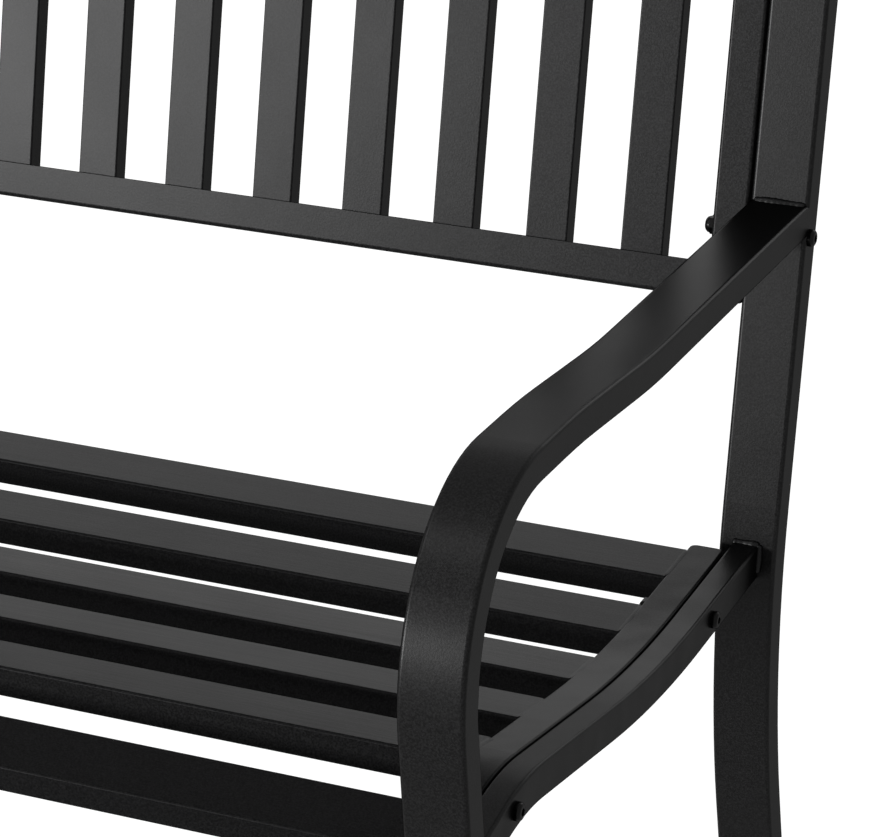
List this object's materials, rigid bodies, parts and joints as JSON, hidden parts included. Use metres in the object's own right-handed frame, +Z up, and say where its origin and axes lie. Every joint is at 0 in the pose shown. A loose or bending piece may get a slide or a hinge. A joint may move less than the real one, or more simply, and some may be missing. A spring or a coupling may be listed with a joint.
{
  "type": "garden bench",
  "caption": "Garden bench with a reclined back of upright slats, a contoured slatted seat and bent tube arms that run on down as the front legs.",
  "frame": {"origin": "on the floor under the middle of the whole bench", "axes": "+X towards the bench's right end seen from the front, +Y towards the back, +Z up"},
  "size_m": [1.2822, 0.5688, 0.8598],
  "materials": {
    "frame_coat": "satin black powder coat with a fine grain",
    "seat_coat": "satin black powder coat with a fine grain",
    "back_coat": "satin black powder coat with a fine grain",
    "bolt_black": "black, half gloss",
    "black_plastic": "matt"
  },
  "bodies": {
    "root": {"left_back_post": "frame_coat", "left_arm_front_leg": "frame_coat", "left_seat_rail": "frame_coat", "left_seat_side_bar": "seat_coat", "left_back_stile": "back_coat", "left_post_cap": "black_plastic", "left_rear_glide": "black_plastic", "left_front_glide": "black_plastic", "right_back_post": "frame_coat", "right_arm_front_leg": "frame_coat", "right_seat_rail": "frame_coat", "right_seat_side_bar": "seat_coat", "right_back_stile": "back_coat", "right_post_cap": "black_plastic", "right_rear_glide": "black_plastic", "right_front_glide": "black_plastic", "back_bottom_rail": "back_coat", "back_top_rail": "back_coat", "back_slat_01": "back_coat", "back_slat_02": "back_coat", "back_slat_03": "back_coat", "back_slat_04": "back_coat", "back_slat_05": "back_coat", "back_slat_06": "back_coat", "back_slat_07": "back_coat", "back_slat_08": "back_coat", "back_slat_09": "back_coat", "back_slat_10": "back_coat", "back_slat_11": "back_coat", "back_slat_12": "back_coat", "back_slat_13": "back_coat", "back_slat_14": "back_coat", "back_slat_15": "back_coat", "back_slat_16": "back_coat", "back_slat_17": "back_coat", "back_slat_18": "back_coat", "back_slat_19": "back_coat", "seat_slat_1": "seat_coat", "seat_slat_2": "seat_coat", "seat_slat_3": "seat_coat", "seat_slat_4": "seat_coat", "seat_slat_5": "seat_coat", "seat_slat_6": "seat_coat", "seat_center_strap": "seat_coat", "back_bolts": "bolt_black", "back_cap_nuts": "bolt_black", "seat_bolts": "bolt_black", "seat_nuts": "bolt_black"}
  },
  "joints": []
}
